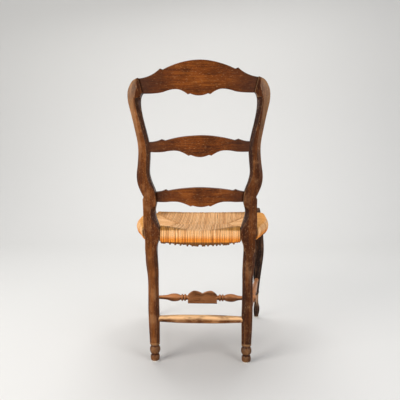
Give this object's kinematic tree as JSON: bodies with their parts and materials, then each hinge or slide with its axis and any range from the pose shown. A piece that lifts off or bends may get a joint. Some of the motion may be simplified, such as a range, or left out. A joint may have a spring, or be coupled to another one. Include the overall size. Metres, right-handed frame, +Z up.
{
  "type": "dining chair",
  "caption": "Ladder-back dining chair with a shaped crest rail and slats, cabriole front legs, turned stretchers and a woven rush seat",
  "frame": {"origin": "on the floor, under the middle of the chair's overall width and depth", "axes": "+Z up, -Y the way the chair faces, +X the sitter's left"},
  "size_m": [0.4902, 0.521, 0.97],
  "materials": {
    "walnut_wood": "worn wax over dark walnut stain",
    "rail_wood": "raw sawn",
    "woven_rush": "twisted natural rush, dry",
    "stuffing": "loose dry rush",
    "glide_plastic": "moulded, scuffed"
  },
  "bodies": {
    "root": {"left_rear_post": "walnut_wood", "right_rear_post": "walnut_wood", "crest_rail": "walnut_wood", "middle_slat": "walnut_wood", "lower_slat": "walnut_wood", "left_front_leg": "walnut_wood", "right_front_leg": "walnut_wood", "rear_stretcher": "walnut_wood", "left_side_stretcher": "walnut_wood", "right_side_stretcher": "walnut_wood", "cross_stretcher": "walnut_wood", "front_seat_rail": "rail_wood", "rear_seat_rail": "rail_wood", "left_seat_rail": "rail_wood", "right_seat_rail": "rail_wood", "rush_front_panel": "woven_rush", "rush_rear_panel": "woven_rush", "rush_left_panel": "woven_rush", "rush_right_panel": "woven_rush", "seat_stuffing": "stuffing", "left_rear_glide": "glide_plastic", "right_rear_glide": "glide_plastic", "left_front_glide": "glide_plastic", "right_front_glide": "glide_plastic"}
  },
  "joints": []
}
